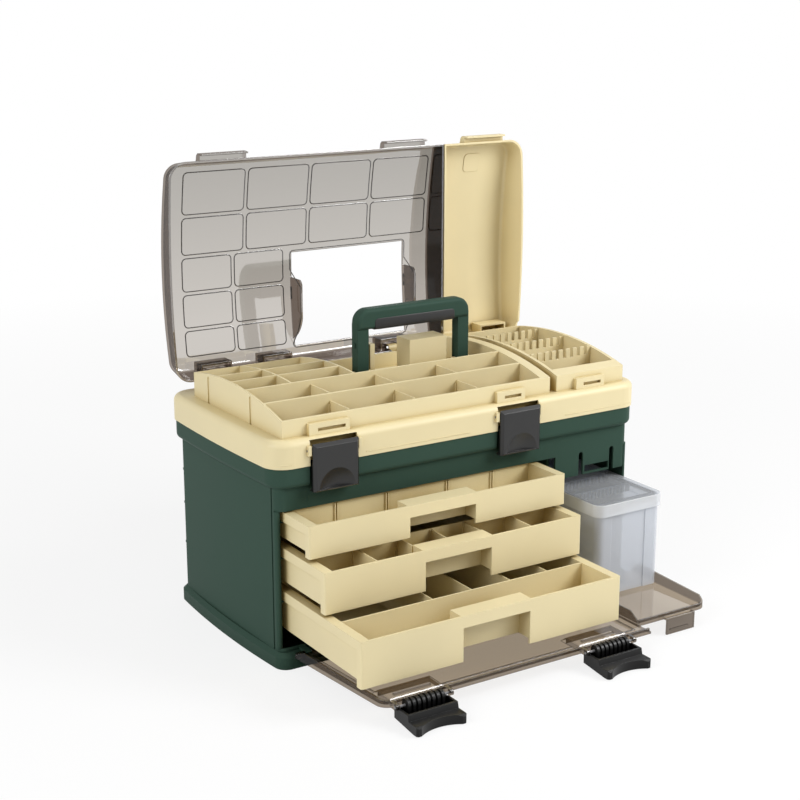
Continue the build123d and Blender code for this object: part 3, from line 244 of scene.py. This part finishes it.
# Drawers
# Cream polypropylene, slightly glossier than the cabinet, with loose dividers of
# the same plastic pushed into ribbed slots.
cream_plastic = moulded(
    "cream_plastic",
    colour=(0.77, 0.665, 0.40),
    # the deeper colour is painted shade for corners and hollows
    painted_shade_colour=(0.42, 0.29, 0.08),
    roughness=0.42,
    gloss=0.35,
    grain=0.08,
    grain_scale=700,
    edge_radius=0.0007,
)
dress(cream_plastic, "drawer_top", "drawer_middle", "drawer_bottom")
dress(cream_plastic, "drawer_middle_dividers", "drawer_bottom_dividers")

# Lure box
# Thin frosted polypropylene with a cool cast, snapped shut, its comb showing
# through the lid.


def frosted(name, colour, cover, top_cover):
    """Milky see-through plastic, clearer on its upper faces."""
    material = bpy.data.materials.new(name)
    material.use_nodes = True
    tree = material.node_tree
    shade = tree.nodes["Principled BSDF"]
    shade.inputs["Base Color"].default_value = (*colour, 1)
    shade.inputs["Roughness"].default_value = 0.28
    tree.links.new(softened(tree, 0.0012, samples=6), shade.inputs["Normal"])
    where = tree.nodes.new("ShaderNodeTexCoord")
    turned = tree.nodes.new("ShaderNodeSeparateXYZ")
    tree.links.new(where.outputs["Normal"], turned.inputs[0])
    milkiness = ramped(tree, turned.outputs["Z"], 0.5, 0.9, cover, top_cover)
    through = tree.nodes.new("ShaderNodeBsdfTransparent")
    through.inputs["Color"].default_value = (0.93, 0.95, 0.98, 1)
    surface = mixed_shaders(tree, milkiness, through.outputs[0], shade.outputs[0])
    tree.links.new(surface, tree.nodes["Material Output"].inputs["Surface"])
    return material


dress(frosted("box_plastic", (0.78, 0.80, 0.84), cover=0.42, top_cover=0.3), "lure_box")
dress(frosted("lid_plastic", (0.84, 0.85, 0.86), cover=0.52, top_cover=0.26), "lure_box_lid")
dress(frosted("comb_plastic", (0.16, 0.18, 0.21), cover=0.9, top_cover=0.9), "lure_box_comb")

# Main lid with its trays
# Cream polypropylene like the drawers: skirt, ledge and arched trays are one
# moulding, with loose dividers and comb racks pushed in. A fine bead runs round
# the skirt a little above its lower edge.
dress(cream_plastic, "tray_lid", "tray_dividers", "comb_racks")


def rounded_loop(name, middle, turn, width, height, corner, corner_steps, cuts):
    """A closed loop of edges: a rectangle with rounded corners, its sides cut into short edges."""
    bpy.ops.object.select_all(action="DESELECT")
    bpy.ops.mesh.primitive_plane_add(size=1, location=middle, rotation=turn)
    loop = bpy.context.object
    loop.name = name
    loop.scale = (width, height, 1)
    bpy.ops.object.transform_apply(location=True, rotation=True, scale=True)
    bpy.ops.object.mode_set(mode="EDIT")
    bpy.ops.mesh.select_all(action="SELECT")
    bpy.ops.mesh.bevel(offset=corner, segments=corner_steps, affect="VERTICES")
    bpy.ops.mesh.select_all(action="SELECT")
    bpy.ops.mesh.subdivide(number_cuts=cuts)
    bpy.ops.mesh.select_all(action="SELECT")
    bpy.ops.mesh.delete(type="ONLY_FACE")
    bpy.ops.object.mode_set(mode="OBJECT")
    return loop


def thickened(radius):
    """Turns the selected loop of edges into a thin round bead, closed at any open end."""
    bpy.ops.object.convert(target="CURVE")
    curve = bpy.context.object.data
    curve.use_fill_caps = True
    curve.bevel_depth = radius
    curve.bevel_resolution = 1
    bpy.ops.object.convert(target="MESH")
    return bpy.context.object


def finished(piece, material):
    """Smooths a bead round its section and gives it its material."""
    bpy.ops.object.shade_smooth_by_angle(angle=math.radians(60))
    piece.data.materials.clear()
    piece.data.materials.append(material)


# The loop starts just outside the skirt and is drawn in onto it.
bead_height = 0.2592
skirt_middle = 0.0008
skirt_bead = rounded_loop(
    "skirt_bead",
    middle=(0, skirt_middle, bead_height),
    turn=(0, 0, 0),
    width=0.569,
    height=0.298,
    corner=0.030,
    corner_steps=10,
    cuts=9,
)
wrap = skirt_bead.modifiers.new("wrap", "SHRINKWRAP")
wrap.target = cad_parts["tray_lid"]
bpy.ops.object.modifier_apply(modifier="wrap")

# It stops on both sides of the latches.
bpy.ops.object.mode_set(mode="EDIT")
bpy.ops.mesh.select_all(action="DESELECT")
bpy.ops.object.mode_set(mode="OBJECT")
latch_clearance = 0.0045
skirt_front = -0.1
for latch in ("lid_latch_left", "lid_latch_right"):
    latch_low, latch_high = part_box(latch)
    gap_start = latch_low[0] - latch_clearance
    gap_end = latch_high[0] + latch_clearance
    for vertex in skirt_bead.data.vertices:
        if vertex.co.y < skirt_front and gap_start < vertex.co.x < gap_end:
            vertex.select = True
bpy.ops.object.mode_set(mode="EDIT")
bpy.ops.mesh.delete(type="VERT")
bpy.ops.object.mode_set(mode="OBJECT")

# On the bowed sides it lies flush, so the box is no longer with it than without.
skirt_bead = thickened(0.0007)
skirt_bead.scale.x = 0.9974
bpy.ops.object.transform_apply(scale=True)
finished(skirt_bead, cream_plastic)
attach(skirt_bead, "main_lid")

# Lid latches
# Glossy black plastic plates, bevelled and scooped for a finger. They turn on
# short grey pins in the lid's notches.
black_plastic = moulded(
    "black_plastic",
    colour=(0.012, 0.012, 0.012),
    # the deeper colour is painted shade for corners and hollows
    painted_shade_colour=(0.006, 0.006, 0.006),
    roughness=0.3,
    gloss=0.5,
    grain=0.06,
    grain_scale=900,
    edge_radius=0.0008,
)
dress(black_plastic, "lid_latch_left", "lid_latch_right")
pin_plastic = moulded(
    "pin_plastic",
    colour=(0.22, 0.22, 0.23),
    # the deeper colour is painted shade for corners and hollows
    painted_shade_colour=(0.12, 0.12, 0.12),
    roughness=0.4,
    gloss=0.4,
    grain=0.05,
    grain_scale=900,
    edge_radius=0.0003,
)
dress(pin_plastic, "lid_latch_pins")

# Smoke lid
# Clear plastic tinted brown. It mirrors the white room on its polished faces,
# and its skirts and moulded edges read dark.


def smoked(name, plate_axis, tint, painted_light_foot_tint, skirt_tint, edge_tint, mirror, roughness):
    """Tinted clear plastic, painted paler towards its foot to stand in for the brighter reflection
    lower down, with dark moulded edges and skirts.
    """
    material = bpy.data.materials.new(name)
    material.use_nodes = True
    tree = material.node_tree
    tree.nodes.clear()
    soft_normal = softened(tree, 0.001, samples=8)
    face = tree.nodes.new("ShaderNodeNewGeometry")
    along = tree.nodes.new("ShaderNodeVectorMath")
    along.operation = "DOT_PRODUCT"
    tree.links.new(soft_normal, along.inputs[0])
    tree.links.new(face.outputs["Normal"], along.inputs[1])
    edge = ramped(tree, reckoned(tree, "ABSOLUTE", along.outputs["Value"]), 0.99, 0.85)
    where = tree.nodes.new("ShaderNodeTexCoord")
    turned = tree.nodes.new("ShaderNodeSeparateXYZ")
    tree.links.new(where.outputs["Normal"], turned.inputs[0])
    skirt = ramped(tree, reckoned(tree, "ABSOLUTE", turned.outputs[plate_axis]), 0.8, 0.5)
    # Painted light: the tint turns paler towards the foot, standing in for the brighter reflection on
    # the lower part of the plate.
    height = tree.nodes.new("ShaderNodeSeparateXYZ")
    tree.links.new(where.outputs["Object"], height.inputs[0])
    low = ramped(tree, height.outputs["Z"], 0.57, 0.36)
    plate = blended(tree, low, tint, painted_light_foot_tint)
    walls = blended(tree, skirt, plate, skirt_tint)
    lined = blended(tree, edge, walls, edge_tint)
    through = tree.nodes.new("ShaderNodeBsdfTransparent")
    tree.links.new(lined, through.inputs["Color"])
    shine = tree.nodes.new("ShaderNodeBsdfGlossy")
    shine.inputs["Roughness"].default_value = roughness
    shine.inputs["Color"].default_value = (1, 1, 1, 1)
    tree.links.new(soft_normal, shine.inputs["Normal"])
    fresnel = tree.nodes.new("ShaderNodeFresnel")
    fresnel.inputs["IOR"].default_value = mirror
    polish = ramped(tree, skirt, 0.0, 1.0, 1.0, 0.25)
    outer_side = reckoned(tree, "SUBTRACT", 1.0, face.outputs["Backfacing"])
    strength = reckoned(tree, "MULTIPLY", polish, outer_side)
    mirrored = reckoned(tree, "MULTIPLY", fresnel.outputs["Fac"], strength)
    surface = mixed_shaders(tree, mirrored, through.outputs[0], shine.outputs[0])
    out = tree.nodes.new("ShaderNodeOutputMaterial")
    tree.links.new(surface, out.inputs["Surface"])
    return material


smoke_plastic = smoked(
    "smoke_plastic",
    plate_axis="Y",
    tint=(0.555, 0.535, 0.50),
    # the paler foot tint is painted light, for the brighter reflection lower down
    painted_light_foot_tint=(0.73, 0.70, 0.665),
    skirt_tint=(0.36, 0.31, 0.275),
    edge_tint=(0.10, 0.085, 0.075),
    mirror=2.6,
    roughness=0.04,
)
dress(smoke_plastic, "smoke_lid")

# The plastic is thickest round each raised field and round the window, and shows
# there as a dark line. Each field is given by its left, right, upper and lower side.
line_plastic = moulded(
    "line_plastic",
    colour=(0.060, 0.052, 0.046),
    # the deeper colour is painted shade for corners and hollows
    painted_shade_colour=(0.05, 0.043, 0.038),
    roughness=0.3,
    gloss=0.4,
    grain=0.02,
    grain_scale=900,
    edge_radius=0.0003,
)
window = (-0.0860, 0.1035, 0.4550, 0.3165)
row_heights = (0.5720, 0.5118, 0.4584, 0.4095, 0.3617, 0.3235)
full_width_rows = 2
wide_columns = (-0.246, -0.1522, -0.0567, 0.0401, 0.1348)
narrow_columns = (-0.246, -0.170, -0.092)
fields = [window]
for row, (upper, lower) in enumerate(zip(row_heights, row_heights[1:])):
    columns = wide_columns if row < full_width_rows else narrow_columns
    for left, right in zip(columns, columns[1:]):
        fields.append((left, right, upper, lower))

# The loops are laid out in front of the lid and pushed back onto it.
before_lid = 0.12
field_gap = 0.005
rings = []
for left, right, upper, lower in fields:
    ring = rounded_loop(
        "field_lines",
        middle=((left + right) / 2, before_lid, (upper + lower) / 2),
        turn=(math.radians(90), 0, 0),
        width=right - left - field_gap,
        height=upper - lower - field_gap,
        corner=0.0055,
        corner_steps=4,
        cuts=5,
    )
    rings.append(ring)
for ring in rings:
    ring.select_set(True)
bpy.ops.object.join()
field_lines = bpy.context.object
field_lines.name = "field_lines"
wrap = field_lines.modifiers.new("wrap", "SHRINKWRAP")
wrap.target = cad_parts["smoke_lid"]
wrap.wrap_method = "PROJECT"
wrap.use_project_y = True
wrap.use_negative_direction = False
wrap.use_positive_direction = True
bpy.ops.object.modifier_apply(modifier="wrap")
sunk = 0.0005
field_lines.location.y = sunk
bpy.ops.object.transform_apply(location=True)
field_lines = thickened(0.0007)
finished(field_lines, line_plastic)
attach(field_lines, "smoke_lid")

# Side lid
# The same form as the smoke lid's end, moulded in the cream plastic and hung on
# the same rear ledge.
dress(cream_plastic, "side_lid")

# Handle
# Dark green like the cabinet, with a black insert let into the grip, on grey
# pins. The insert's face fills the lower half of the grip's front.
dress(green_plastic, "handle")
dress(black_plastic, "handle_grip")
face_width = 0.124
face_height = 0.0142
face_middle = (0.0087, -0.0066, 0.3786)
face_thickness = 0.0010
bpy.ops.object.select_all(action="DESELECT")
bpy.ops.mesh.primitive_plane_add(size=1, location=face_middle, rotation=(math.radians(90), 0, 0))
grip_face = bpy.context.object
grip_face.name = "grip_face"
grip_face.scale = (face_width, face_height, 1)
bpy.ops.object.transform_apply(location=True, rotation=True, scale=True)
bpy.ops.object.mode_set(mode="EDIT")
bpy.ops.mesh.select_all(action="SELECT")
bpy.ops.mesh.bevel(offset=0.0045, segments=5, affect="VERTICES")
bpy.ops.mesh.select_all(action="SELECT")
bpy.ops.mesh.extrude_region_move(TRANSFORM_OT_translate={"value": (0, -face_thickness, 0)})
bpy.ops.mesh.select_all(action="SELECT")
bpy.ops.mesh.normals_make_consistent(inside=False)
bpy.ops.object.mode_set(mode="OBJECT")
rim = grip_face.modifiers.new("rim", "BEVEL")
rim.width = 0.0003
rim.segments = 2
rim.limit_method = "ANGLE"
bpy.ops.object.modifier_apply(modifier="rim")
bpy.ops.object.shade_smooth_by_angle(angle=math.radians(35))
grip_face.data.materials.append(black_plastic)
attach(grip_face, "handle")
dress(pin_plastic, "handle_pins")

# Doors
# The smoke lid's plastic a little browner, lying flat on steel hinge rods. Their
# black latches hang from grey pins.
door_tint = (0.66, 0.60, 0.52)
door_plastic = smoked(
    "door_plastic",
    plate_axis="Z",
    tint=door_tint,
    painted_light_foot_tint=door_tint,
    skirt_tint=(0.45, 0.41, 0.37),
    edge_tint=(0.13, 0.115, 0.10),
    mirror=1.85,
    roughness=0.05,
)
dress(door_plastic, "main_door", "bay_door")
latch_black = moulded(
    "latch_black",
    colour=(0.007, 0.007, 0.007),
    # the deeper colour is painted shade for corners and hollows
    painted_shade_colour=(0.003, 0.003, 0.003),
    roughness=0.34,
    gloss=0.28,
    grain=0.06,
    grain_scale=900,
    edge_radius=0.0007,
)
dress(latch_black, "door_latch_left", "door_latch_right")
dress(pin_plastic, "door_latch_pins")
rod_steel = moulded(
    "rod_steel",
    colour=(0.5, 0.5, 0.52),
    # the deeper colour is painted shade for corners and hollows
    painted_shade_colour=(0.3, 0.3, 0.3),
    roughness=0.3,
    gloss=0.5,
    grain=0.02,
    grain_scale=900,
    edge_radius=0.0003,
)
rod_steel.node_tree.nodes["Principled BSDF"].inputs["Metallic"].default_value = 1.0
dress(rod_steel, "main_hinge_rods", "door_rods")
